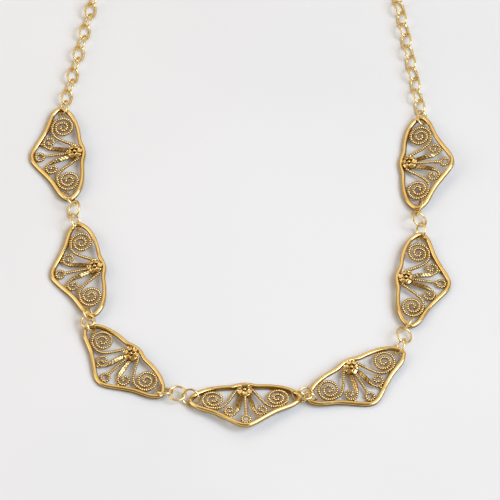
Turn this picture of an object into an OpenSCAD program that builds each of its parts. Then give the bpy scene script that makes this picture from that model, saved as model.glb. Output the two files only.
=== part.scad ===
// Drapery necklace in yellow gold: seven pierced filigree plaques joined by jump rings, on an oval cable chain.
// It lies open on a table. +Y points to the clasp at the back of the neck, +X to the wearer's left and +Z up.
// The origin is on the table, under the middle of the necklace. All sizes are in millimetres.

/* [Plaque] */
// Length of a plaque between the middles of its band at the two ends
plaque_l = 24.5; // [24.2:0.1:24.8]
// Width of the gold band round a plaque
band_w = 0.95; // [0.9:0.01:1]
// Height of that band
band_h = 1; // [0.9:0.05:1.05]
// Thickness of the milled scroll wire
scroll_d = 0.46; // [0.42:0.01:0.5]
// Greatest width of the leaf that a small scroll starts from
leaf_w = 0.9; // [0.7:0.05:1]

/* [Rosette] */
// Number of petals
petals = 6; // [5:1:7]
// Distance from the rosette's middle to the middle of a petal
petal_ring = 1.06; // [1:0.01:1.1]
// Width of one petal
petal_w = 1.05; // [1:0.05:1.2]
// Height of the petals' rims above the underside of the plaque
petal_top = 1.35; // [1.2:0.05:1.5]

/* [Jump rings] */
// Wire of the jump rings between the plaques
ring_d = 0.5; // [0.45:0.01:0.5]

/* [Chain] */
// Outer length of one oval link
link_l = 4.1; // [4.1:0.01:4.15]
// Outer width of one oval link
link_w = 3.05; // [3:0.01:3.1]
// Wire of the links
link_d = 0.45; // [0.42:0.01:0.45]
// Distance from one link's middle to the next
link_pitch = 3.05; // [3.03:0.01:3.06]
// Number of links on each side of the neck
links_each_side = 33; // [31:1:35]

/* [Clasp] */
// Outer diameter of the round clasp
clasp_od = 6; // [5.9:0.05:6.1]
// Thickness of its tube
clasp_tube = 1.3; // [1.2:0.05:1.3]

/* [Hidden] */
gold = [0.83, 0.66, 0.33];
pale_gold = [0.9, 0.76, 0.45];

// Where each plaque lies. across and along are the table place of its middle, height is the middle of its band
// above the table, turn is the way its long axis points and lean tips its point down towards the table.
// [across, along, height, turn, lean]
PLAQUE_ROWS = [
    [-40.3, -13, 1.2, -84.5, 5],
    [-35.4, -44.2, 1.45, -81, 6.5],
    [-26.5, -68.4, 1.2, -46.5, 4.5],
    [0.7, -78.5, 1.35, 2, -9.5],
    [25.7, -72.5, 1.45, 31, 6.5],
    [39.2, -46.9, 1.3, 84, 5.5],
    [40.3, -15.5, 1.35, 87.5, -9.5]
];

// Middle line of the band, from the neck side round one end to the point. [along, across, steps to the next]
BAND_ROWS = [
    [0, 4.35, 2],
    [1.3, 4.15, 1],
    [2.9, 3.7, 1],
    [5.2, 3.6, 1],
    [7.4, 3.3, 1],
    [9.4, 2.7, 2],
    [11.1, 1.7, 2],
    [12.25, 0, 2],
    [11, -1.6, 1],
    [9, -2.6, 1],
    [7, -3.5, 1],
    [5, -4.75, 1],
    [3, -6.15, 1],
    [1.2, -7.25, 2],
    [0, -7.5, 2]
];
// Section of the band, as shares of its width and height: flat below, domed above. [side, up]
BAND_SECTION = [[-0.5, 0], [0.5, 0], [0.5, 0.6], [0.22, 1], [-0.22, 1], [-0.5, 0.6]];
band_stretch = plaque_l / (2 * BAND_ROWS[7][0]);

// Tail of a large scroll, from under the rosette to where the coil starts. [along, across]
TAIL_ROWS = [[1.4, 3.1], [2, 2.35], [2.75, 1.2], [3.65, -0.25], [4.75, -1.6], [5.9, -2.25]];
// Small scroll, from its leaf under the rosette round to the tip of its curl. [along, across, width share]
CURL_ROWS = [
    [0.9, 0.9, 0.5],
    [1.4, -1.2, 1],
    [1.75, -2.7, 0.8],
    [2.15, -3.7, 0.3],
    [2.75, -4.35, 0],
    [3.5, -4.6, 0],
    [4.3, -4.35, 0],
    [4.85, -3.7, 0],
    [4.95, -2.9, 0],
    [4.6, -2, 0],
    [3.9, -1.65, 0],
    [3.3, -2.1, 0],
    [3.2, -2.95, 0],
    [3.7, -3.25, 0]
];
coil_middle = [7.2, 0.1];
coil_outer = 2.55;
coil_inner = 0.3;
coil_turns = 2.6;
coil_round_part = 0.6;
coil_steps = 24;
scroll_sides = 5;
rosette_middle = [0, 2.3];
plate_r = 1.62;
plate_foot = 0.14;
petal_foot = 0.75;
petal_sides = 7;
stem_top = 0.9;
eye_middle = [0, -5.8];
eye_r = 1.05;
eye_steps = 12;
grain_r = 0.33;
GRAIN_MIDDLES = [[3.4, -5], [8.85, -2.4]];

// Where each jump ring lies. across and along are its middle on the table and height is above it, radius is to
// the middle of the wire, tip is how far its axis leans from upright and heading is the way that it leans.
// [name, across, along, height, radius, tip, heading]
RING_ROWS = [
    ["jump_ring_12_a", -39, -25.45, 1.85, 1.95, 54, 32],
    ["jump_ring_12_b", -38, -28.49, 1.95, 1.95, 52, 186],
    ["jump_ring_12_c", -37.6, -31.75, 1.9, 1.95, 56, 5],
    ["jump_ring_23_a", -34.65, -56.05, 1.7, 1.6, 54, 0],
    ["jump_ring_23_b", -34.6, -58.35, 2.2, 1.55, 13, 167],
    ["jump_ring_23_c", -33.9, -59.4, 1.65, 1.6, 59, 0],
    ["jump_ring_34_a", -17.25, -76.35, 1.48, 1.85, 41, 87],
    ["jump_ring_34_b", -14.45, -77.15, 1.7, 1.85, 3, 48],
    ["jump_ring_34_c", -11.55, -78.15, 1.6, 1.85, 45, 256],
    ["jump_ring_45_a", 12.75, -78, 1.9, 1.6, 81, 245],
    ["jump_ring_45_b", 14.35, -77.65, 2.65, 1.5, 6, 346],
    ["jump_ring_45_c", 15.2, -78.1, 1.8, 1.5, 90, 73],
    ["jump_ring_56_a", 35.55, -64.91, 1.85, 1.85, 57, 168],
    ["jump_ring_56_b", 36.4, -62, 2, 1.85, 31, -4],
    ["jump_ring_56_c", 37.35, -59.21, 2.05, 1.87, 71, 148],
    ["jump_ring_67_a", 40.4, -34.4, 2.05, 1.95, 66, 193],
    ["jump_ring_67_b", 40, -31.2, 2.25, 2, 39, 12],
    ["jump_ring_67_c", 40.2, -28, 2.15, 1.95, 71, 169]
];

// Chain runs. Each starts at the middle of its first link, beside the end of a plaque, and heads for the back.
// first_turn and first_lift move the first link alone, where it loops round the end of a plaque.
left_start = [-40.6, -0.6];
left_heading = 77.7;
left_roll = -56;
left_first_turn = 6;
left_first_lift = 0;
right_start = [41, -3.3];
right_heading = 99.2;
right_roll = 41;
right_first_turn = -8;
right_first_lift = 0.1;
roll_sway = 2.5;
steep_roll = 60;

// Middle line of an oval link: two half rings joined by two short straights
end_arc_r = (link_w - link_d) / 2;
end_arc_x = (link_l - link_w) / 2;

clasp_r = (clasp_od - clasp_tube) / 2;
clasp_height = 1.45;
clasp_tilt = 4.5;
loop_r = 1.05;
loop_d = 0.6;
loop_x = clasp_r + clasp_tube / 2 + loop_r - 0.15;
end_ring_r = 2.1;
end_ring_d = 0.6;
end_ring_roll = 50;
clasp_to_left_link = 5.75;
clasp_to_end_ring = 2.85;
clasp_to_right_link = 5.95;

// The two runs are straight at first and meet on one round arc at the back, whose radius closes the necklace
function unit(angle) = [cos(angle), sin(angle)];
function left_of(v) = [-v[1], v[0]];
function cross2(a, b) = a[0] * b[1] - a[1] * b[0];
left_dir = unit(left_heading);
right_dir = unit(right_heading);
function gap_vector(r) = right_start + r * left_of(right_dir) - left_start + r * left_of(left_dir);
function left_straight(r) = cross2(gap_vector(r), right_dir) / cross2(left_dir, right_dir);
function right_straight(r) = cross2(gap_vector(r), left_dir) / cross2(left_dir, right_dir);
back_turn = 180 - (right_heading - left_heading);
function run_length(r) = left_straight(r) + right_straight(r) + r * back_turn * PI / 180;
run_needed = 2 * (links_each_side - 1) * link_pitch + clasp_to_left_link + clasp_to_right_link;
back_r = (run_length(0) - run_needed) / (run_length(0) - run_length(1));

// Place and heading at a distance along a run: side is 1 for the left run, -1 for the right
function run_state(side, s) =
    let (
        start = side > 0 ? left_start : right_start,
        heading = side > 0 ? left_heading : right_heading,
        straight = side > 0 ? left_straight(back_r) : right_straight(back_r),
        dir = unit(heading),
        middle = start + straight * dir - side * back_r * left_of(dir),
        turned = (s - straight) / back_r * 180 / PI,
        now = heading - side * turned
    )
    s <= straight ? [start + s * dir, heading] : [middle + side * back_r * left_of(unit(now)), now];

// Points of a smooth closed curve through rows, whose third column says how many steps each stretch takes
function blend(a, b, c, d, t) =
    0.5 * (2 * b + (c - a) * t + (2 * a - 5 * b + 4 * c - d) * t * t + (3 * b - a - 3 * c + d) * t * t * t);
function loop_curve(rows) =
    let (n = len(rows))
    [for (i = [0 : n - 1]) for (k = [0 : rows[i][2] - 1])
        blend(rows[(i + n - 1) % n], rows[i], rows[(i + 1) % n], rows[(i + 2) % n], k / rows[i][2])];
function mirrored(rows) =
    concat(rows, [for (i = [len(rows) - 2 : -1 : 1]) [-rows[i][0], rows[i][1], rows[i - 1][2]]]);
function widened(rows) = [for (r = rows) [r[0] * band_stretch, r[1], r[2]]];

// Radius of a large scroll after a share of its coil: round at first, then winding in
function coil_radius(turn) =
    turn < coil_round_part ? coil_outer
    : coil_outer - (coil_outer - coil_inner)
        * pow((turn - coil_round_part) / (coil_turns - coil_round_part), 0.8);
COIL = [for (k = [0 : coil_steps])
    let (turn = coil_turns * k / coil_steps)
    coil_middle + coil_radius(turn) * unit(360 * turn - 90)];
LARGE_SCROLL = concat(TAIL_ROWS, COIL);

// A bar of one section swept along a flat path; widths holds its width at each point of the path
module swept_bar(path, widths, section, height, closed) {
    n = len(path);
    m = len(section);
    last = closed ? n - 1 : n - 2;
    points = [for (i = [0 : n - 1])
        let (
            before = closed ? path[(i + n - 1) % n] : path[max(i - 1, 0)],
            after = closed ? path[(i + 1) % n] : path[min(i + 1, n - 1)],
            way = [after[0] - before[0], after[1] - before[1]] / norm([after[0] - before[0], after[1] - before[1]])
        )
        for (s = section) [
            path[i][0] + way[1] * s[0] * widths[i],
            path[i][1] - way[0] * s[0] * widths[i],
            s[1] * height
        ]];
    sides = [for (i = [0 : last]) for (j = [0 : m - 1])
        let (a = i * m + j, b = i * m + (j + 1) % m, c = ((i + 1) % n) * m + (j + 1) % m, d = ((i + 1) % n) * m + j)
        each [[a, b, c], [a, c, d]]];
    caps = closed ? [] : [[for (j = [m - 1 : -1 : 0]) j], [for (j = [0 : m - 1]) (n - 1) * m + j]];
    polyhedron(points = points, faces = concat(sides, caps));
}

function wire_section() =
    [for (k = [0 : scroll_sides - 1]) [0.5 * cos(360 * k / scroll_sides + 18), 0.5 + 0.5 * sin(360 * k / scroll_sides + 18)]];
function flipped(path, side) = [for (p = path) [side * p[0], p[1]]];

module band() {
    path = loop_curve(mirrored(widened(BAND_ROWS)));
    swept_bar(path, [for (p = path) band_w], BAND_SECTION, band_h, true);
}

module large_scroll(side) {
    swept_bar(flipped(LARGE_SCROLL, side), [for (p = LARGE_SCROLL) scroll_d], wire_section(), scroll_d, false);
}

module small_scroll(side) {
    widths = [for (p = CURL_ROWS) scroll_d + (leaf_w - scroll_d) * p[2]];
    swept_bar(flipped(CURL_ROWS, side), widths, wire_section(), scroll_d, false);
}

module stem_and_eye() {
    stem = [[0, stem_top], [0, eye_middle[1] + eye_r]];
    swept_bar(stem, [scroll_d, scroll_d], wire_section(), scroll_d, false);
    eye = [for (k = [0 : eye_steps - 1]) eye_middle + eye_r * unit(360 * k / eye_steps)];
    swept_bar(eye, [for (p = eye) scroll_d], wire_section(), scroll_d, true);
}

module petal() {
    hull()
        translate([0, 0, petal_foot - 0.1])
            cylinder(h = petal_top - petal_foot + 0.1, d1 = 0.6 * petal_w, d2 = petal_w, $fn = petal_sides);
}

module grain(middle, r) {
    translate([middle[0], middle[1], r])
        hull()
            sphere(r = r, $fn = 6);
}

module rosette() {
    translate([rosette_middle[0], rosette_middle[1], 0]) {
        translate([0, 0, plate_foot])
            cylinder(h = petal_foot - plate_foot, r = plate_r, $fn = 12);
        for (k = [0 : petals - 1])
            rotate([0, 0, 90 + 360 * k / petals])
                translate([petal_ring, 0, 0])
                    petal();
        translate([0, 0, petal_foot - 0.1])
            cylinder(h = petal_top - petal_foot + 0.25, d1 = 1.4, d2 = 0.7, $fn = 8);
    }
}

module plaque(row) {
    color(gold)
        translate([row[0], row[1], row[2]])
            rotate([row[4], 0, row[3]])
                translate([0, 0, -band_h / 2]) {
                    band();
                    stem_and_eye();
                    rosette();
                    for (side = [-1, 1]) {
                        large_scroll(side);
                        small_scroll(side);
                        for (g = GRAIN_MIDDLES)
                            grain([side * g[0], g[1]], grain_r);
                    }
                }
}

module wire_ring(r, d) {
    rotate_extrude($fn = 72)
        translate([r, 0])
            circle(d = d, $fn = 48);
}

module jump_ring(name) {
    color(pale_gold)
        for (row = RING_ROWS)
            if (row[0] == name)
                translate([row[1], row[2], row[3]])
                    rotate([0, row[5], row[6]])
                        wire_ring(row[4], ring_d);
}

module half_ring(r, d) {
    rotate([0, 0, -90])
        rotate_extrude(angle = 180, $fn = 72)
            translate([r, 0])
                circle(d = d, $fn = 48);
}

// One oval link, its length along X and flat in X and Y
module oval_link() {
    for (side = [-1, 1]) {
        translate([side * end_arc_x, 0, 0])
            rotate([0, 0, side * 90 - 90])
                half_ring(end_arc_r, link_d);
        translate([-end_arc_x, side * end_arc_r, 0])
            rotate([0, 90, 0])
                cylinder(h = 2 * end_arc_x, d = link_d, $fn = 48);
    }
}

// Each link is turned a quarter from the last, with a slight sway that repeats slowly along the chain
function link_roll(side, i) =
    let (first = side > 0 ? left_roll : right_roll)
    first + (i % 2 == 1 ? (first < 0 ? 90 : -90) : 0) + roll_sway * sin(70 * i);
// A link at the steepest roll stands on the table, and its neighbours hang from links like it, a little above
function rest_height(roll) = end_arc_r * abs(sin(roll)) + link_d / 2;
function link_height(roll) = (rest_height(roll) + rest_height(steep_roll)) / 2;

module chain(side) {
    color(gold)
        for (i = [0 : links_each_side - 1]) {
            state = run_state(side, i * link_pitch);
            roll = link_roll(side, i);
            lift = i > 0 ? 0 : side > 0 ? left_first_lift : right_first_lift;
            turn = i > 0 ? 0 : side > 0 ? left_first_turn : right_first_turn;
            translate([state[0][0], state[0][1], link_height(roll) + lift])
                rotate([0, 0, state[1] + turn])
                    rotate([roll, 0, 0])
                        oval_link();
        }
}

clasp_state = run_state(1, (links_each_side - 1) * link_pitch + clasp_to_left_link);

module clasp() {
    color(gold)
        translate([clasp_state[0][0], clasp_state[0][1], clasp_height])
            rotate([0, 0, clasp_state[1]])
                rotate([0, -clasp_tilt, 0]) {
                    wire_ring(clasp_r, clasp_tube);
                    translate([-loop_x, 0, 0])
                        wire_ring(loop_r, loop_d);
                }
}

module clasp_ring() {
    color(gold)
        translate([clasp_state[0][0], clasp_state[0][1], 0])
            rotate([0, 0, clasp_state[1]])
                translate([clasp_to_end_ring, 0, end_ring_r * sin(end_ring_roll) + end_ring_d / 2])
                    rotate([end_ring_roll, 0, 0])
                        wire_ring(end_ring_r, end_ring_d);
}

plaque(PLAQUE_ROWS[0]);  // plaque_1
plaque(PLAQUE_ROWS[1]);  // plaque_2
plaque(PLAQUE_ROWS[2]);  // plaque_3
plaque(PLAQUE_ROWS[3]);  // plaque_4
plaque(PLAQUE_ROWS[4]);  // plaque_5
plaque(PLAQUE_ROWS[5]);  // plaque_6
plaque(PLAQUE_ROWS[6]);  // plaque_7
jump_ring("jump_ring_12_a");  // jump_ring_12_a
jump_ring("jump_ring_12_b");  // jump_ring_12_b
jump_ring("jump_ring_12_c");  // jump_ring_12_c
jump_ring("jump_ring_23_a");  // jump_ring_23_a
jump_ring("jump_ring_23_b");  // jump_ring_23_b
jump_ring("jump_ring_23_c");  // jump_ring_23_c
jump_ring("jump_ring_34_a");  // jump_ring_34_a
jump_ring("jump_ring_34_b");  // jump_ring_34_b
jump_ring("jump_ring_34_c");  // jump_ring_34_c
jump_ring("jump_ring_45_a");  // jump_ring_45_a
jump_ring("jump_ring_45_b");  // jump_ring_45_b
jump_ring("jump_ring_45_c");  // jump_ring_45_c
jump_ring("jump_ring_56_a");  // jump_ring_56_a
jump_ring("jump_ring_56_b");  // jump_ring_56_b
jump_ring("jump_ring_56_c");  // jump_ring_56_c
jump_ring("jump_ring_67_a");  // jump_ring_67_a
jump_ring("jump_ring_67_b");  // jump_ring_67_b
jump_ring("jump_ring_67_c");  // jump_ring_67_c
chain(1);  // chain_left
chain(-1);  // chain_right
clasp();
clasp_ring();
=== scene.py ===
import math

import bpy
from mathutils import Matrix, Vector


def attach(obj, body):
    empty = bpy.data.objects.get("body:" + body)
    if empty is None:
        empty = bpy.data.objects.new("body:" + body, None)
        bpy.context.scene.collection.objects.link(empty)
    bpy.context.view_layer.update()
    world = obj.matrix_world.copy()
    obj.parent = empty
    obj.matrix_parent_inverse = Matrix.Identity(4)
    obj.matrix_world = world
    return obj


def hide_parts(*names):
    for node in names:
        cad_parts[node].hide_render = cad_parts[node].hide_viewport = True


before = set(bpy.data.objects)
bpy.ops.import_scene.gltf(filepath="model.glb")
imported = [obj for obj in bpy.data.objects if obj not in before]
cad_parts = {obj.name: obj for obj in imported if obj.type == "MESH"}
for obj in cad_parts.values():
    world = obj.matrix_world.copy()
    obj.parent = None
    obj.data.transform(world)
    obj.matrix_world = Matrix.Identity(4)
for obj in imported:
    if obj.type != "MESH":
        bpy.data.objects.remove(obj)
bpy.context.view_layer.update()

# Table, light and camera. The necklace lies on a pale sheet in a warm room that is dimmer at the front. Broad
# cool light falls from the right and softer warm light from the back and left, and a long lens looks down.
MM = 0.001
CAMERA_TARGET = Vector((1.8, -38.9, 1.3)) * MM
CAMERA_DISTANCE = 2241.8 * MM
CAMERA_ELEVATION = math.radians(57.6)
CAMERA_REACH = 20.0
SENSOR = 36.0
SEEN_WIDTH = 112.9 * MM
SHEET_SIZE = 4.0
SHEET_GREYER, SHEET_PALER = (0.8, 0.822, 0.85), (0.84, 0.862, 0.89)
SHEET_ROUGHNESS, SHEET_GLOSS = 0.75, 0.25
# Mottle and grain, here and in the golds below, are measured in patches to a metre.
SHEET_MOTTLE, PAPER_GRAIN = 9.0, 900.0
PAPER_DEPTH = 0.02 * MM


def clear_selection():
    if bpy.context.mode != "OBJECT":
        bpy.ops.object.mode_set(mode="OBJECT")
    bpy.ops.object.select_all(action="DESELECT")


class Socket:
    """A shader socket that adds its Math nodes when it is used in an expression."""

    def __init__(self, tree, output=None):
        self.tree, self.output = tree, output

    def node(self, kind, settings, output=0, **inputs):
        """Adds a node with its settings and inputs, each input by name or as i and its number."""
        made = self.tree.nodes.new(kind)
        for name, value in settings.items():
            setattr(made, name, value)
        for name, value in inputs.items():
            entry = made.inputs[int(name[1:])] if name[1:].isdigit() else made.inputs[name]
            if isinstance(value, Socket):
                self.tree.links.new(value.output, entry)
            else:
                entry.default_value = value
        return Socket(self.tree, made.outputs[output])

    def math(self, operation, a, b=0.0):
        return self.node("ShaderNodeMath", {"operation": operation}, i0=a, i1=b)

    def __add__(self, other):
        return self.math("ADD", self, other)

    def __sub__(self, other):
        return self.math("SUBTRACT", self, other)

    def __rsub__(self, other):
        return self.math("SUBTRACT", other, self)

    def __mul__(self, other):
        return self.math("MULTIPLY", self, other)

    def __abs__(self):
        return self.math("ABSOLUTE", self)

    __radd__, __rmul__ = __add__, __mul__

    def sine(self):
        return self.math("SINE", self)

    def step(self, low, high):
        """A smooth rise from 0 at a low value to 1 at a high one."""
        return self.node("ShaderNodeMapRange", {"interpolation_type": "SMOOTHSTEP"}, i0=self, i1=low, i2=high)

    def part(self, axis):
        """One of a vector's three parts, 0 for X, 1 for Y or 2 for Z."""
        return self.node("ShaderNodeSeparateXYZ", {}, axis, Vector=self)


def new_material(name):
    """A material with its own shader, and the socket of its Object coordinates."""
    material = bpy.data.materials.new(name)
    material.use_nodes = True
    tree = material.node_tree
    return material, tree.nodes["Principled BSDF"], Socket(tree).node("ShaderNodeTexCoord", {}, "Object")


def noise(place, scale, detail=2.0, stretch=(1, 1, 1)):
    """Soft patches from 0 to 1, so many to a metre, drawn out along an axis where its stretch is small."""
    spread = place.node("ShaderNodeMapping", {}, Vector=place, Scale=stretch)
    return place.node("ShaderNodeTexNoise", {}, Vector=spread, Scale=scale, Detail=detail)


def mix_colour(factor, first, second):
    """A mix of two colours, each a row of three numbers or a socket."""
    first, second = [shade if isinstance(shade, Socket) else (*shade, 1) for shade in (first, second)]
    return factor.node("ShaderNodeMix", {"data_type": "RGBA"}, 2, i0=factor, i6=first, i7=second)


def feed(shader, name, value):
    value.tree.links.new(value.output, shader.inputs[name])


def bump(shader, height, depth, strength=1.0):
    relief = height.node("ShaderNodeBump", {}, Height=height, Distance=depth, Strength=strength)
    feed(shader, "Normal", relief)


sheet_paper, shader, place = new_material("pale_sheet")
mottle = noise(place, SHEET_MOTTLE, detail=3.0)
feed(shader, "Base Color", mix_colour(mottle.step(0.3, 0.7), SHEET_GREYER, SHEET_PALER))
shader.inputs["Roughness"].default_value = SHEET_ROUGHNESS
shader.inputs["Specular IOR Level"].default_value = SHEET_GLOSS
bump(shader, noise(place, PAPER_GRAIN), PAPER_DEPTH)

clear_selection()
bpy.ops.mesh.primitive_plane_add(size=SHEET_SIZE, location=(0, 0, 0))
sheet = bpy.context.object
sheet.name = "pale_sheet"
bpy.ops.object.mode_set(mode="EDIT")
bpy.ops.mesh.subdivide(number_cuts=3)
bpy.ops.object.mode_set(mode="OBJECT")
sheet.data.materials.append(sheet_paper)

COOL, WARM, AMBER = (0.66, 0.82, 1.0), (1.0, 0.96, 0.89), (1.0, 0.92, 0.82)
# Each lamp faces the plaques. In metres and watts. [name, across, along, height, width, depth, power, colour]
LAMP_ROWS = [
    ["lamp_side", 1.05, -0.5, 1.25, 1.4, 1.2, 25.2, COOL],
    ["lamp_back", 0, 0.9, 1.28, 2.0, 1.2, 5.2, WARM],
    ["lamp_spark", 0.85, -0.1, 1.15, 0.4, 0.4, 2.5, WARM],
    ["lamp_left", -1.2, -0.1, 0.8, 1.0, 1.0, 5.5, AMBER],
]
for name, across, along, height, width, depth, power, colour in LAMP_ROWS:
    bpy.ops.object.light_add(type="AREA", location=(across, along, height))
    lamp = bpy.context.object
    lamp.name = name
    lamp.data.shape = "RECTANGLE"
    lamp.data.size, lamp.data.size_y = width, depth
    lamp.data.energy = power
    lamp.data.color = colour
    aim = CAMERA_TARGET - lamp.location
    lamp.rotation_euler = aim.to_track_quat("-Z", "Y").to_euler()

FRONT_OF_ROOM, REST_OF_ROOM = (0.45, 0.29, 0.15), (1.0, 0.68, 0.38)
# Straight to the front counts as -1 and sideways as 0, and between these two the room grows lighter.
FRONT_ENDS, REST_STARTS = -0.8, -0.35
ROOM_STRENGTH = 0.36

world = bpy.data.worlds.new("soft_room")
bpy.context.scene.world = world
bpy.context.scene.view_settings.view_transform = "Standard"
world.use_nodes = True
outwards = Socket(world.node_tree).node("ShaderNodeTexCoord", {}, "Generated")
past_front = outwards.part(1).step(FRONT_ENDS, REST_STARTS)
room = world.node_tree.nodes["Background"]
feed(room, "Color", mix_colour(past_front, FRONT_OF_ROOM, REST_OF_ROOM))
room.inputs["Strength"].default_value = ROOM_STRENGTH

back_from_target = Vector((0, -math.cos(CAMERA_ELEVATION), math.sin(CAMERA_ELEVATION))) * CAMERA_DISTANCE
bpy.ops.object.camera_add(location=CAMERA_TARGET + back_from_target)
camera = bpy.context.object
camera.rotation_euler = (math.pi / 2 - CAMERA_ELEVATION, 0, 0)
camera.data.sensor_width = SENSOR
camera.data.lens = SENSOR * CAMERA_DISTANCE / SEEN_WIDTH
camera.data.clip_end = CAMERA_REACH
bpy.context.scene.camera = camera

# Plaque bands. Each plaque's outline is a strip of solid yellow gold, bent on edge to the shape, soldered
# shut at the neck side and polished. The plaques lie loosely, so each has its own turn and leans a little.
# Pieces of a plaque are modelled in millimetres, X along it, Y to the neck and Z up from its underside.
BAND_WIDTH, BAND_HEIGHT = 0.95, 1.0
BAND_FOOT, BAND_TOP = 0.04, 0.94
TOP_ROUNDING, FOOT_ROUNDING = 0.38, 0.1
TOP_STEPS, FOOT_STEPS = 6, 2
BAND_CUTS = 159
# A plaque's middle in millimetres and its angles in degrees. [across, along, height, turn, lean]
PLAQUE_ROWS = [
    [-40.3, -13, 1.2, -84.5, 5],
    [-35.4, -44.2, 1.45, -81, 6.5],
    [-26.5, -68.4, 1.2, -46.5, 4.5],
    [0.7, -78.5, 1.35, 2, -9.5],
    [25.7, -72.5, 1.45, 31, 6.5],
    [39.2, -46.9, 1.3, 84, 5.5],
    [40.3, -15.5, 1.35, 87.5, -9.5],
]
# Middle line of the band from the neck side round one end to the point. [along, across]
BAND_ROWS = [
    [0, 4.35], [1.3, 4.15], [2.9, 3.7], [5.2, 3.6], [7.4, 3.3], [9.4, 2.7], [11.1, 1.7], [12.25, 0],
    [11, -1.6], [9, -2.6], [7, -3.5], [5, -4.75], [3, -6.15], [1.2, -7.25], [0, -7.5],
]
GOLD = (0.78, 0.575, 0.22)
PALE_GOLD = (0.9, 0.7, 0.33)
# Painted shade: the dark gold put on the band's inner walls and in the rosette.
RECESS_SHADE_GOLD = (0.33, 0.19, 0.04)
# Painted shade: a dark gold put on walls, undersides and the grooves between beads in place of shading.
PAINTED_SHADE_GOLD = (0.24, 0.13, 0.025)
POLISH_CLOUDS, HAIRLINES, HAMMER_MARKS = 260.0, 900.0, 110.0
LONG_IN_Y, LONG_IN_X = (1, 0.12, 0.3), (0.1, 1, 0.3)
POLISH_ROUGHNESS, CLOUD_ROUGHNESS, HAIRLINE_ROUGHNESS = 0.08, 0.08, 0.1
# How much hammer marks, clouds and hairlines each count in the surface's relief, and the depth of it all.
HAMMER_SHARE, CLOUD_SHARE, HAIRLINE_SHARE = 4.0, 0.6, 0.4
POLISH_DEPTH = 0.05 * MM
IN_METRES = Matrix.Diagonal((MM, MM, MM, 1))


def work_on(piece):
    clear_selection()
    piece.select_set(True)
    bpy.context.view_layer.objects.active = piece


def turned(angle, axis):
    return Matrix.Rotation(math.radians(angle), 4, axis)


def set_down(across, along, height, turn):
    """The place in metres of a piece that is modelled in millimetres, turned as it lies on the table."""
    return IN_METRES @ Matrix.Translation((across, along, height)) @ turned(turn, "Z")


def lay_guide(rows, closed=False, widths=None):
    """A flat guide curve through rows of points, each handle a sixth of the way between its neighbours."""
    clear_selection()
    bpy.ops.curve.primitive_bezier_curve_add()
    guide = bpy.context.object
    guide.data.dimensions = "2D"
    guide.data.resolution_u = 16
    line = guide.data.splines[0]
    line.bezier_points.add(len(rows) - 2)
    line.use_cyclic_u = closed
    last = len(rows) - 1
    for i, point in enumerate(line.bezier_points):
        before = Vector(rows[i - 1] if i or closed else rows[0]).to_3d()
        after = Vector(rows[(i + 1) % len(rows)] if i < last or closed else rows[last]).to_3d()
        point.handle_left_type = point.handle_right_type = "FREE"
        point.co = Vector(rows[i]).to_3d()
        point.handle_left = point.co - (after - before) / 6
        point.handle_right = point.co + (after - before) / 6
        point.radius = widths[i] if widths else 1.0
    return guide, line.calc_length()


def apply_modifier(piece, kind, **settings):
    work_on(piece)
    modifier = piece.modifiers.new(kind.lower(), kind)
    for name, value in settings.items():
        setattr(modifier, name, value)
    bpy.ops.object.modifier_apply(modifier=modifier.name)


def bend_along(piece, guide):
    apply_modifier(piece, "CURVE", object=guide, deform_axis="POS_X")
    bpy.data.objects.remove(guide)


def pick(piece, kind, test):
    """Picks, in edit mode, the vertices, edges or faces of a piece that pass a test."""
    bpy.ops.object.mode_set(mode="OBJECT")
    bpy.context.tool_settings.mesh_select_mode = [kind == each for each in ("VERT", "EDGE", "FACE")]
    mesh = piece.data
    for group in (mesh.vertices, mesh.edges, mesh.polygons):
        group.foreach_set("select", [False] * len(group))
    if kind == "VERT":
        chosen = [v for v in mesh.vertices if test(v.co)]
    elif kind == "EDGE":
        ends = [[mesh.vertices[i].co for i in edge.vertices] for edge in mesh.edges]
        chosen = [e for e, (a, b) in zip(mesh.edges, ends) if test(a, b)]
    else:
        chosen = [p for p in mesh.polygons if test(p.center, p.normal)]
    for part in chosen:
        part.select = True
    bpy.ops.object.mode_set(mode="EDIT")


def lengthwise(a, b):
    """Whether an edge, by its two ends, runs along a straight piece that is still to be bent."""
    return abs(a.x - b.x) > 1


def mark_painted_shade(piece, how_much):
    """Notes on each face, from 0 to 1, how much painted shade the polished gold puts on it where it looks
    into the work.
    """
    inside = piece.data.attributes.new("inside", "FLOAT", "FACE")
    inside.data.foreach_set("value", [how_much(face.normal) for face in piece.data.polygons])


def close_up(piece, merge):
    """Merges doubles, fills open ends and turns every face outwards."""
    work_on(piece)
    bpy.ops.object.mode_set(mode="EDIT")
    bpy.ops.mesh.select_all(action="SELECT")
    bpy.ops.mesh.remove_doubles(threshold=merge)
    bpy.ops.mesh.fill_holes(sides=0)
    bpy.ops.mesh.normals_make_consistent(inside=False)
    bpy.ops.object.mode_set(mode="OBJECT")


def moved_copy(pattern, name, place):
    """A copy of a pattern piece with its own mesh, and its place in the mesh."""
    mesh = pattern.data.copy()
    mesh.transform(place)
    mesh.name = name
    piece = bpy.data.objects.new(name, mesh)
    bpy.context.scene.collection.objects.link(piece)
    return piece


def place_copy(pattern, name, place, material, replaced=None):
    """A finished copy of a pattern piece, in its material and riding on the necklace."""
    piece = moved_copy(pattern, name, place)
    piece.data.materials.clear()
    piece.data.materials.append(material)
    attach(piece, "root")
    if replaced:
        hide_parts(replaced)


def on_every_plaque(pattern, part, material, replaces=False):
    for number, (across, along, height, turn, lean) in enumerate(PLAQUE_ROWS, 1):
        node = "plaque_%d" % number
        underside = Matrix.Translation((0, 0, -BAND_HEIGHT / 2))
        plaque_place = set_down(across, along, height, turn) @ turned(lean, "X") @ underside
        place_copy(pattern, "%s_%s" % (node, part), plaque_place, material,
                   node if replaces else None)
    bpy.data.objects.remove(pattern)


def new_gold(name):
    """A material of bare gold, with its shader and the socket of its Object coordinates."""
    material, shader, place = new_material(name)
    shader.inputs["Metallic"].default_value = 1.0
    shader.inputs["Specular Tint"].default_value = (*GOLD, 1)
    return material, shader, place


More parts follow.
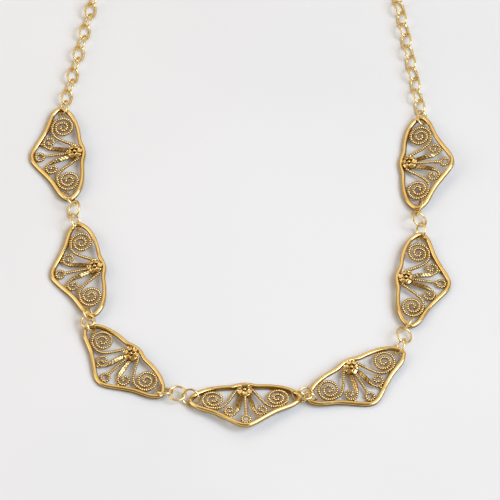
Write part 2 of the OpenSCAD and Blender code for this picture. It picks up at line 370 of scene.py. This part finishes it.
def facing_up(place):
    """How far a surface faces up, from 1 for a top, through 0 for a wall, to -1 underneath."""
    return place.node("ShaderNodeNewGeometry", {}, "Normal").part(2)


polished, shader, place = new_gold("polished_gold")
cloudy = noise(place, POLISH_CLOUDS, detail=3.0)
lines_along_y, lines_along_x = [noise(place, HAIRLINES, stretch=way) for way in (LONG_IN_Y, LONG_IN_X)]
hairlines = lines_along_y * 0.5 + lines_along_x * 0.5
hammered = noise(place, HAMMER_MARKS, detail=1.0)
buffed = mix_colour(cloudy.step(0.3, 0.75), GOLD, PALE_GOLD)
# Painted shade: the walls and undersides of the polished gold are painted darker than its tops.
walls_painted_dark = mix_colour(facing_up(place).step(-0.1, 0.4), PAINTED_SHADE_GOLD, buffed)
# Painted shade: faces marked as looking into the work, the band's inner walls and the rosette's plate and
# petal sides, are painted dark.
painted_shade_mask = place.node("ShaderNodeAttribute", {"attribute_name": "inside"}, "Fac")
feed(shader, "Base Color", mix_colour(painted_shade_mask, walls_painted_dark, RECESS_SHADE_GOLD))
roughness = POLISH_ROUGHNESS + cloudy * CLOUD_ROUGHNESS + hairlines.step(0.5, 0.7) * HAIRLINE_ROUGHNESS
feed(shader, "Roughness", roughness)
relief = hammered * HAMMER_SHARE + cloudy * CLOUD_SHARE + hairlines * HAIRLINE_SHARE
bump(shader, relief, POLISH_DEPTH, strength=0.6)

outline, outline_length = lay_guide(BAND_ROWS + [[-x, y] for x, y in BAND_ROWS[-2:0:-1]], closed=True)
half_way_up = (BAND_FOOT + BAND_TOP) / 2
bpy.ops.mesh.primitive_cube_add(size=1, location=(outline_length / 2, 0, half_way_up),
                                scale=(outline_length, BAND_WIDTH, BAND_TOP - BAND_FOOT))
band = bpy.context.object
bpy.ops.object.transform_apply(location=True, rotation=True, scale=True)
pick(band, "FACE", lambda middle, normal: abs(normal.x) > 0.5)
bpy.ops.mesh.delete(type="FACE")
pick(band, "EDGE", lambda a, b: lengthwise(a, b) and a.z > half_way_up)
bpy.ops.mesh.bevel(offset=TOP_ROUNDING, segments=TOP_STEPS, affect="EDGES")
pick(band, "EDGE", lambda a, b: lengthwise(a, b) and a.z < half_way_up)
bpy.ops.mesh.bevel(offset=FOOT_ROUNDING, segments=FOOT_STEPS, affect="EDGES")
pick(band, "EDGE", lengthwise)
bpy.ops.mesh.subdivide(number_cuts=BAND_CUTS)
bpy.ops.object.mode_set(mode="OBJECT")
# The band's inner wall gets full painted shade.
mark_painted_shade(band, lambda normal: float(normal.y < -0.9))
bend_along(band, outline)
close_up(band, merge=0.02)
bpy.ops.object.shade_smooth()
on_every_plaque(band, "band", polished, replaces=True)

# Large scrolls. Two lengths of fine wire, rolled between milled plates until they look like strings of beads,
# start under the rosette, run out to the ends of the plaque and coil up there, soldered to the band.
SCROLL_WIRE, SCROLL_HEIGHT = 0.82, 0.45
BEAD_PITCH, BEAD_FLATNESS = 0.48, 0.7
BEAD_SIDES, BEAD_RINGS = 10, 8
# The wire's way from under the rosette to the coil. [along, across]
TAIL_ROWS = [[1.4, 3.1], [2, 2.35], [2.75, 1.2], [3.65, -0.25], [4.75, -1.6], [5.9, -2.25]]
COIL_MIDDLE = (7.15, 0.15)
COIL_OUTER, COIL_INNER = 2.4, 0.32
COIL_TURNS, COIL_ROUND_PART = 2.15, 0.3
COIL_TIGHTENING = 0.95
COIL_POINTS = 30
# Painted shade: the darker gold put on the wire's sides and undersides.
FLANK_SHADE_GOLD = (0.64, 0.43, 0.13)
WIRE_CLOUDS = 400.0
WIRE_ROUGHNESS, GROOVE_ROUGHNESS, WIRE_CLOUD_ROUGHNESS = 0.1, 0.22, 0.05
WIRE_DEPTH = 0.03 * MM

milled, shader, place = new_gold("milled_gold")
along_wire = place.node("ShaderNodeTexCoord", {}, "UV")
# Painted shade: the grooves between beads are painted dark; they are also made rougher.
groove = abs(along_wire.part(1) - 0.5).step(0.12, 0.28)
cloudy = noise(place, WIRE_CLOUDS)
# Painted light and shade: the wire's tops are painted paler and its sides darker.
tops_painted_light = mix_colour(facing_up(place).step(0.2, 0.9), FLANK_SHADE_GOLD, PALE_GOLD)
feed(shader, "Base Color", mix_colour(groove, tops_painted_light, PAINTED_SHADE_GOLD))
feed(shader, "Roughness", WIRE_ROUGHNESS + groove * GROOVE_ROUGHNESS + cloudy * WIRE_CLOUD_ROUGHNESS)
bump(shader, cloudy, WIRE_DEPTH, strength=0.4)


def on_circle(middle, radius, angle):
    return [middle[0] + radius * math.cos(angle), middle[1] + radius * math.sin(angle)]


def coil_radius(turn):
    """How far out the coil is after a number of turns: it starts round and then winds in."""
    if turn < COIL_ROUND_PART:
        return COIL_OUTER
    wound = (turn - COIL_ROUND_PART) / (COIL_TURNS - COIL_ROUND_PART)
    return COIL_OUTER - (COIL_OUTER - COIL_INNER) * wound ** COIL_TIGHTENING


def coil_point(turn):
    return on_circle(COIL_MIDDLE, coil_radius(turn), 2 * math.pi * turn - math.pi / 2)


def milled_wire(guide, start, end, thick, middle):
    """A straight string of beads, bent along a stretch of a guide, its middle at a height."""
    beads = round((end - start) / BEAD_PITCH)
    pitch = (end - start) / beads
    clear_selection()
    bpy.ops.mesh.primitive_uv_sphere_add(segments=BEAD_SIDES, ring_count=BEAD_RINGS, radius=thick / 2,
                                         rotation=(0, math.pi / 2, 0), scale=(1, 1, BEAD_FLATNESS))
    wire = bpy.context.object
    bpy.ops.object.transform_apply(location=True, rotation=True, scale=True)
    bpy.ops.object.mode_set(mode="EDIT")
    for side in (-1, 1):
        bpy.ops.mesh.select_all(action="SELECT")
        bpy.ops.mesh.bisect(plane_co=(side * pitch / 2, 0, 0), plane_no=(side, 0, 0), clear_outer=True,
                            threshold=0.00001)
    bpy.ops.mesh.select_all(action="SELECT")
    bpy.ops.transform.translate(value=(start + pitch / 2, 0, middle))
    bpy.ops.object.mode_set(mode="OBJECT")
    apply_modifier(wire, "ARRAY", count=beads, use_relative_offset=False, use_constant_offset=True,
                   constant_offset_displace=(pitch, 0, 0), use_merge_vertices=True, merge_threshold=0.002)
    bend_along(wire, guide)
    close_up(wire, merge=0.004)
    bpy.ops.object.shade_smooth()
    return wire


def mirror(piece):
    """Adds the same piece on the plaque's other half."""
    apply_modifier(piece, "MIRROR", use_axis=(True, False, False), use_mirror_merge=False)


coil = [coil_point(COIL_TURNS * k / COIL_POINTS) for k in range(COIL_POINTS + 1)]
scroll_guide, scroll_length = lay_guide(TAIL_ROWS + coil)
large_scrolls = milled_wire(scroll_guide, 0, scroll_length, SCROLL_WIRE, SCROLL_HEIGHT)
mirror(large_scrolls)
on_every_plaque(large_scrolls, "large_scrolls", milled)

# Small scrolls. Each starts as a leaf of gold hammered wide and creased down its middle, and narrows into the
# same milled wire, which turns up in a small curl between the leaf and the coil.
CURL_WIRE, CURL_HEIGHT = 0.78, 0.45
CURL_START = 3.4
# The leaf and its curl, from the rosette on. [along, across]
CURL_ROWS = [
    [0.9, 0.9], [1.4, -1.2], [1.75, -2.7], [2.15, -3.7], [2.8, -4.4], [3.6, -4.5], [4.3, -4.15],
    [4.6, -3.45], [4.45, -2.7], [3.85, -2.25], [3.2, -2.4], [2.95, -3], [3.3, -3.5], [3.75, -3.3],
]
LEAF_TIP_WIDTH = 0.4
LEAF_WIDTHS = [0.85, 1.2, 1.05, 0.7, 0.5] + [LEAF_TIP_WIDTH] * 9
LEAF_LENGTH, LEAF_RADIUS = 4.7, 0.5
LEAF_SIDES, LEAF_CUTS = 16, 23
LEAF_FLATNESS, LEAF_LIFT = 0.75, 0.5
CREST_HEIGHT, CREST_HALF_WIDTH, CREASE_DEPTH = 0.2, 0.1, 0.16
AGED_GOLD = (0.74, 0.58, 0.28)
# Painted shade: the darker gold put in the hollows of the cuts.
HOLLOW_SHADE_GOLD = (0.38, 0.24, 0.065)
# The cuts repeat along the leaf, slant away from its crest and waver. In radians of their wave.
CUTS_ALONG, CUTS_SLANT, CUTS_WAVER = 85.0, 16.0, 6.0
WAVER_PATCHES, LEAF_CLOUDS, LEAF_SPECKS = 900.0, 500.0, 1600.0
RIDGE_SHARE = 0.6
LEAF_ROUGHNESS, LEAF_CLOUD_ROUGHNESS = 0.22, 0.15
RIDGE_DEPTH = 0.04 * MM

engraved, shader, place = new_gold("engraved_gold")
along_leaf = place.node("ShaderNodeTexCoord", {}, "UV")
off_crest = abs(along_leaf.part(0) - 0.5)
waver = noise(place, WAVER_PATCHES)
slanted_cuts = along_leaf.part(1) * CUTS_ALONG + off_crest * CUTS_SLANT + waver * CUTS_WAVER
ridges = slanted_cuts.sine()
cloudy = noise(place, LEAF_CLOUDS)
# Painted shade: the hollows between the cut ridges are painted dark, in patches.
hollow_painted_shade = ridges.step(-0.9, 0.2) * off_crest.step(0.02, 0.07) * noise(place, LEAF_SPECKS).step(0.36, 0.5)
feed(shader, "Base Color", mix_colour(hollow_painted_shade, HOLLOW_SHADE_GOLD, AGED_GOLD))
feed(shader, "Roughness", LEAF_ROUGHNESS + cloudy * LEAF_CLOUD_ROUGHNESS)
bump(shader, ridges * RIDGE_SHARE + cloudy, RIDGE_DEPTH, strength=0.6)

curl_guide, curl_length = lay_guide(CURL_ROWS)
small_scrolls = milled_wire(curl_guide, CURL_START, curl_length, CURL_WIRE, CURL_HEIGHT)
mirror(small_scrolls)
on_every_plaque(small_scrolls, "small_scrolls", milled)

leaf_guide, _ = lay_guide(CURL_ROWS, widths=LEAF_WIDTHS)
bpy.ops.mesh.primitive_cylinder_add(vertices=LEAF_SIDES, radius=LEAF_RADIUS, depth=LEAF_LENGTH,
                                    rotation=(0, math.pi / 2, 0), location=(LEAF_LENGTH / 2, 0, 0))
leaves = bpy.context.object
bpy.ops.object.transform_apply(location=True, rotation=True, scale=True)
pick(leaves, "EDGE", lengthwise)
bpy.ops.mesh.subdivide(number_cuts=LEAF_CUTS)
bpy.ops.mesh.select_all(action="SELECT")
bpy.ops.transform.resize(value=(1, 1, LEAF_FLATNESS), center_override=(0, 0, 0))
pick(leaves, "VERT", lambda co: co.z > CREST_HEIGHT and abs(co.y) < CREST_HALF_WIDTH)
bpy.ops.transform.translate(value=(0, 0, -CREASE_DEPTH))
bpy.ops.mesh.select_all(action="SELECT")
bpy.ops.transform.translate(value=(0, 0, LEAF_LIFT))
bend_along(leaves, leaf_guide)
close_up(leaves, merge=0.001)
bpy.ops.object.shade_smooth_by_angle(angle=math.radians(50))
mirror(leaves)
on_every_plaque(leaves, "leaves", engraved)

# Stem and eye. A straight length of the milled wire drops from the rosette to a small round eye of the same
# wire, soldered into the point of the band.
STEM_WIRE, STEM_HEIGHT = 0.76, 0.55
STEM_TOP, STEM_FOOT = 0.9, -4.8
EYE_WIRE, EYE_HEIGHT = 0.78, 0.42
EYE_MIDDLE, EYE_RADIUS = (0, -5.75), 0.92
EYE_POINTS = 12

stem_guide, stem_length = lay_guide([[0, STEM_TOP], [0, STEM_FOOT]])
stem = milled_wire(stem_guide, 0, stem_length, STEM_WIRE, STEM_HEIGHT)
on_every_plaque(stem, "stem", milled)

eye_rows = [on_circle(EYE_MIDDLE, EYE_RADIUS, 2 * math.pi * k / EYE_POINTS) for k in range(EYE_POINTS)]
eye_guide, eye_length = lay_guide(eye_rows, closed=True)
eye = milled_wire(eye_guide, 0, eye_length, EYE_WIRE, EYE_HEIGHT)
on_every_plaque(eye, "eye", milled)

# Rosette. Six cupped petals stamped from sheet gold sit in a ring on a round plate, with a round bead of gold
# in their middle. It covers the joint of the scrolls, leaves and stem, and stands on the band's neck side.
ROSETTE_MIDDLE = (0, 2.3)
PLATE_SIDES, PETAL_SIDES = 32, 18
PLATE_RADIUS, PLATE_THICK, PLATE_HEIGHT = 1.65, 0.7, 0.52
PLATE_RIM, PLATE_RISE, PLATE_ROUNDING = 0.25, 0.14, 0.06
PETALS, PETAL_RING = 6, 1.2
PETAL_RADIUS, PETAL_THICK = 0.6, 0.4
PETAL_HEIGHT, PETAL_TILT = 1.12, 14
PETAL_RIM, CUP_DEPTH = 0.1, 0.1
CUP_SLOPE, CUP_RISE = 0.22, 0.06
PETAL_FOOT, PETAL_ROUNDING, ROUNDED_BEYOND = 0.5, 0.05, 0.3
MIDDLE_BEAD, MIDDLE_BEAD_LIFT = 0.42, 0.12
# How much painted shade the plate and the petals' sides get, against 1 for the darkest painted shade.
SHADOW_BETWEEN = 0.8


def level(a, b):
    """Whether an edge, by its two ends, lies level."""
    return abs(a.z - b.z) < 0.01


def join(parts):
    """Makes one object of several, under the name of the first."""
    clear_selection()
    for part in parts:
        part.select_set(True)
    bpy.context.view_layer.objects.active = parts[0]
    bpy.ops.object.join()


clear_selection()
bpy.ops.mesh.primitive_cylinder_add(vertices=PLATE_SIDES, radius=PLATE_RADIUS, depth=PLATE_THICK,
                                    location=(*ROSETTE_MIDDLE, PLATE_HEIGHT))
rosette = bpy.context.object
bpy.ops.object.transform_apply(location=True, rotation=True, scale=True)
pick(rosette, "FACE", lambda middle, normal: normal.z > 0.5)
bpy.ops.mesh.inset(thickness=PLATE_RIM)
bpy.ops.transform.translate(value=(0, 0, PLATE_RISE))
pick(rosette, "EDGE", level)
bpy.ops.mesh.bevel(offset=PLATE_ROUNDING, segments=2, affect="EDGES")
bpy.ops.object.mode_set(mode="OBJECT")
# The whole plate gets painted shade.
mark_painted_shade(rosette, lambda normal: SHADOW_BETWEEN)

clear_selection()
bpy.ops.mesh.primitive_cylinder_add(vertices=PETAL_SIDES, radius=PETAL_RADIUS, depth=PETAL_THICK)
petal = bpy.context.object
pick(petal, "FACE", lambda middle, normal: normal.z > 0.5)
bpy.ops.mesh.inset(thickness=PETAL_RIM)
bpy.ops.transform.translate(value=(0, 0, -CUP_DEPTH))
bpy.ops.mesh.inset(thickness=CUP_SLOPE)
bpy.ops.transform.translate(value=(0, 0, CUP_RISE))
pick(petal, "FACE", lambda middle, normal: normal.z < -0.5)
bpy.ops.transform.resize(value=(PETAL_FOOT, PETAL_FOOT, 1), center_override=(0, 0, 0))
pick(petal, "EDGE", lambda a, b: level(a, b) and max(a.xy.length, b.xy.length) > ROUNDED_BEYOND)
bpy.ops.mesh.bevel(offset=PETAL_ROUNDING, segments=2, affect="EDGES")
bpy.ops.object.mode_set(mode="OBJECT")
bpy.ops.object.shade_smooth()
# The petals' sides and undersides get painted shade.
mark_painted_shade(petal, lambda normal: SHADOW_BETWEEN * (normal.z < 0.5))

rosette_parts = [rosette]
on_plate = Matrix.Translation((*ROSETTE_MIDDLE, PETAL_HEIGHT))
tilted_out = Matrix.Translation((PETAL_RING, 0, 0)) @ turned(PETAL_TILT, "Y")
for k in range(PETALS):
    round_ring = turned(90 + 360 * k / PETALS, "Z")
    rosette_parts.append(moved_copy(petal, "petal_%d" % k, on_plate @ round_ring @ tilted_out))
bpy.data.objects.remove(petal)
bpy.ops.mesh.primitive_uv_sphere_add(segments=20, ring_count=12, radius=MIDDLE_BEAD,
                                     location=(*ROSETTE_MIDDLE, PETAL_HEIGHT + MIDDLE_BEAD_LIFT))
rosette_parts.append(bpy.context.object)
join(rosette_parts)
bpy.ops.object.shade_smooth_by_angle(angle=math.radians(55))
on_every_plaque(rosette, "rosette", polished)

# Grains. Small balls of gold, melted from snips of wire, are soldered on where the scrolls meet the band.
# Each half of a plaque has two, on its edge away from the neck.
GRAIN_RADIUS, GRAIN_FLATNESS = 0.34, 0.85
# [along, across]
GRAIN_ROWS = [[3.4, -5], [8.85, -2.4]]

clear_selection()
grains = []
for side in (-1, 1):
    for along, across in GRAIN_ROWS:
        bpy.ops.mesh.primitive_ico_sphere_add(subdivisions=3, radius=GRAIN_RADIUS,
                                              location=(side * along, across, GRAIN_RADIUS))
        grains.append(bpy.context.object)
join(grains)
bpy.ops.object.transform_apply(location=True, rotation=True, scale=True)
bpy.ops.object.mode_set(mode="EDIT")
bpy.ops.mesh.select_all(action="SELECT")
bpy.ops.transform.resize(value=(1, 1, GRAIN_FLATNESS), center_override=(0, 0, 0))
bpy.ops.object.mode_set(mode="OBJECT")
bpy.ops.object.shade_smooth()
on_every_plaque(grains[0], "grains", polished)

# Jump rings. Three round rings of drawn gold wire join each plaque to the next. Each was cut from a coil and
# closed, so a fine line shows where its ends meet.
RING_WIRE = 0.5
NIPPED = 0.94
# A ring's middle and radius in millimetres and its angles in degrees.
# [name, across, along, height, radius, tip, heading]
RING_ROWS = [
    ["jump_ring_12_a", -39, -25.45, 1.85, 1.95, 54, 32],
    ["jump_ring_12_b", -38, -28.49, 1.95, 1.95, 52, 186],
    ["jump_ring_12_c", -37.6, -31.75, 1.9, 1.95, 56, 5],
    ["jump_ring_23_a", -34.65, -56.05, 1.7, 1.6, 54, 0],
    ["jump_ring_23_b", -34.6, -58.35, 2.2, 1.55, 13, 167],
    ["jump_ring_23_c", -33.9, -59.4, 1.65, 1.6, 59, 0],
    ["jump_ring_34_a", -17.25, -76.35, 1.48, 1.85, 41, 87],
    ["jump_ring_34_b", -14.45, -77.15, 1.7, 1.85, 3, 48],
    ["jump_ring_34_c", -11.55, -78.15, 1.6, 1.85, 45, 256],
    ["jump_ring_45_a", 12.75, -78, 1.9, 1.6, 81, 245],
    ["jump_ring_45_b", 14.35, -77.65, 2.65, 1.5, 6, 346],
    ["jump_ring_45_c", 15.2, -78.1, 1.8, 1.5, 90, 73],
    ["jump_ring_56_a", 35.55, -64.91, 1.85, 1.85, 57, 168],
    ["jump_ring_56_b", 36.4, -62, 2, 1.85, 31, -4],
    ["jump_ring_56_c", 37.35, -59.21, 2.05, 1.87, 71, 148],
    ["jump_ring_67_a", 40.4, -34.4, 2.05, 1.95, 66, 193],
    ["jump_ring_67_b", 40, -31.2, 2.25, 2, 39, 12],
    ["jump_ring_67_c", 40.2, -28, 2.15, 1.95, 71, 169],
]
BRIGHT_GOLD = (0.96, 0.8, 0.42)
DRAWN_CLOUDS, DRAWN_GRAIN = 300.0, 1500.0
DRAWN_ROUGHNESS, DRAWN_CLOUD_ROUGHNESS = 0.2, 0.12
DRAWN_DEPTH = 0.02 * MM

drawn, shader, place = new_gold("drawn_gold_wire")
cloudy = noise(place, DRAWN_CLOUDS)
feed(shader, "Base Color", mix_colour(cloudy.step(0.3, 0.75), PALE_GOLD, BRIGHT_GOLD))
feed(shader, "Roughness", DRAWN_ROUGHNESS + cloudy * DRAWN_CLOUD_ROUGHNESS)
bump(shader, noise(place, DRAWN_GRAIN), DRAWN_DEPTH, strength=0.4)


def closed_wire_ring(radius, wire, segments=56, sides=14):
    """A round ring of wire, thinned a little at the joint of its two ends, on its -Y side."""
    clear_selection()
    bpy.ops.mesh.primitive_torus_add(major_segments=segments, minor_segments=sides,
                                     major_radius=radius, minor_radius=wire / 2)
    ring = bpy.context.object
    joint = math.pi * 1.5
    pick(ring, "VERT", lambda co: abs(math.atan2(co.y, co.x) % (2 * math.pi) - joint) < math.pi / segments)
    bpy.ops.transform.resize(value=(1, NIPPED, NIPPED), center_override=(0, -radius, 0))
    bpy.ops.object.mode_set(mode="OBJECT")
    bpy.ops.object.shade_smooth()
    return ring


for name, across, along, height, radius, tip, heading in RING_ROWS:
    ring = closed_wire_ring(radius, RING_WIRE)
    ring_place = set_down(across, along, height, heading) @ turned(tip, "Y")
    place_copy(ring, name + "_wire", ring_place, drawn, name)
    bpy.data.objects.remove(ring)

# Chains. Oval links of drawn gold wire, each soldered shut through the last and turned a quarter from it.
# The two runs leave the outer plaques, straight at first, and meet at the clasp on one round arc at the back.
LINK_LENGTH, LINK_WIDTH = 4.1, 3.05
LINK_PITCH, LINKS_EACH_SIDE = 3.05, 33
# The links are spaced for the thinner of these wires and made of the fuller one.
LINK_WIRE, FULLER_LINK_WIRE = 0.45, 0.5
LEFT_START, RIGHT_START = Vector((-40.6, -0.6)), Vector((41.0, -3.3))
LEFT_HEADING, RIGHT_HEADING = 77.7, 99.2
LEFT_ROLL, RIGHT_ROLL = -56, 41
# The first link of each run is turned, and on the right lifted too, to pass round the end of its plaque.
FIRST_TURN = {"left": 6, "right": -8}
FIRST_LIFT = {"left": 0, "right": 0.1}
ROLL_SWAY, SWAY_STEP = 2.5, 70
STEEP_ROLL = 60
CLASP_TO_LEFT_LINK, CLASP_TO_RIGHT_LINK = 5.75, 5.95
END_ARC_RADIUS = (LINK_WIDTH - LINK_WIRE) / 2
END_ARC_X = (LINK_LENGTH - LINK_WIDTH) / 2


def unit(angle):
    return Vector((math.cos(math.radians(angle)), math.sin(math.radians(angle))))


def left_of(v):
    return Vector((-v.y, v.x))


def straights(radius):
    """How far each run goes before a round arc of this radius takes over."""
    left, right = unit(LEFT_HEADING), unit(RIGHT_HEADING)
    gap = RIGHT_START + radius * left_of(right) - LEFT_START + radius * left_of(left)
    return gap.cross(right) / left.cross(right), gap.cross(left) / left.cross(right)


def run_length(radius):
    """The length of both runs with the arc. It changes evenly with the radius."""
    return sum(straights(radius)) + radius * math.radians(180 - RIGHT_HEADING + LEFT_HEADING)


run_needed = 2 * (LINKS_EACH_SIDE - 1) * LINK_PITCH + CLASP_TO_LEFT_LINK + CLASP_TO_RIGHT_LINK
back_radius = (run_length(0) - run_needed) / (run_length(0) - run_length(1))


def run_state(side, gone):
    """Place and heading after a distance along the left or right run."""
    start, heading, sign, straight = (
        (LEFT_START, LEFT_HEADING, 1, straights(back_radius)[0]) if side == "left"
        else (RIGHT_START, RIGHT_HEADING, -1, straights(back_radius)[1]))
    way = unit(heading)
    if gone <= straight:
        return start + gone * way, heading
    middle = start + straight * way - sign * back_radius * left_of(way)
    now = heading - sign * math.degrees((gone - straight) / back_radius)
    return middle + sign * back_radius * left_of(unit(now)), now


def rest_height(roll):
    """How high the middle of a link is when it is rolled this far and rests on the table."""
    return END_ARC_RADIUS * abs(math.sin(math.radians(roll))) + LINK_WIRE / 2


link = closed_wire_ring(END_ARC_RADIUS, FULLER_LINK_WIRE, segments=40, sides=12)
for side in (-1, 1):
    pick(link, "VERT", lambda co: co.x * side > 0.001)
    bpy.ops.transform.translate(value=(side * END_ARC_X, 0, 0))
bpy.ops.object.mode_set(mode="OBJECT")

for side, first_roll in (("left", LEFT_ROLL), ("right", RIGHT_ROLL)):
    links = []
    for i in range(LINKS_EACH_SIDE):
        (x, y), heading = run_state(side, i * LINK_PITCH)
        quarter = (90 if first_roll < 0 else -90) if i % 2 else 0
        roll = first_roll + quarter + ROLL_SWAY * math.sin(math.radians(SWAY_STEP * i))
        height = (rest_height(roll) + rest_height(STEEP_ROLL)) / 2 + (0 if i else FIRST_LIFT[side])
        along_run = turned(heading + (0 if i else FIRST_TURN[side]), "Z")
        link_place = Matrix.Translation((x, y, height)) @ along_run @ turned(roll, "X")
        links.append(moved_copy(link, "link_%s_%d" % (side, i), link_place))
    join(links)
    place_copy(links[0], "chain_%s_links" % side, IN_METRES, drawn, "chain_" + side)
    bpy.data.objects.remove(links[0])
bpy.data.objects.remove(link)

# Clasp. A plain round ring of gold tube with a small loop soldered to it for the left chain, and a ring of
# heavier wire on the right chain that it closes through.
CLASP_TUBE, CLASP_RADIUS = 1.3, 2.35
CLASP_HEIGHT, CLASP_TILT = 1.45, 4.5
LOOP_RADIUS, LOOP_WIRE, LOOP_SUNK = 1.05, 0.6, 0.15
LOOP_X = CLASP_RADIUS + CLASP_TUBE / 2 + LOOP_RADIUS - LOOP_SUNK
END_RING_RADIUS, END_RING_WIRE, END_RING_ROLL = 2.1, 0.6, 50
CLASP_TO_END_RING = 2.85

(clasp_x, clasp_y), clasp_heading = run_state("left", (LINKS_EACH_SIDE - 1) * LINK_PITCH + CLASP_TO_LEFT_LINK)
tube = closed_wire_ring(CLASP_RADIUS, CLASP_TUBE, segments=64, sides=24)
loop = closed_wire_ring(LOOP_RADIUS, LOOP_WIRE, segments=40)
loop.data.transform(Matrix.Translation((-LOOP_X, 0, 0)))
join([tube, loop])
clasp_place = set_down(clasp_x, clasp_y, CLASP_HEIGHT, clasp_heading) @ turned(-CLASP_TILT, "Y")
place_copy(tube, "clasp_tube", clasp_place, polished, "clasp")
bpy.data.objects.remove(tube)

end_ring = closed_wire_ring(END_RING_RADIUS, END_RING_WIRE, sides=16)
lift = END_RING_RADIUS * math.sin(math.radians(END_RING_ROLL)) + END_RING_WIRE / 2
past_clasp = Matrix.Translation((CLASP_TO_END_RING, 0, lift))
ring_place = set_down(clasp_x, clasp_y, 0, clasp_heading) @ past_clasp @ turned(END_RING_ROLL, "X")
place_copy(end_ring, "clasp_ring_wire", ring_place, drawn, "clasp_ring")
bpy.data.objects.remove(end_ring)
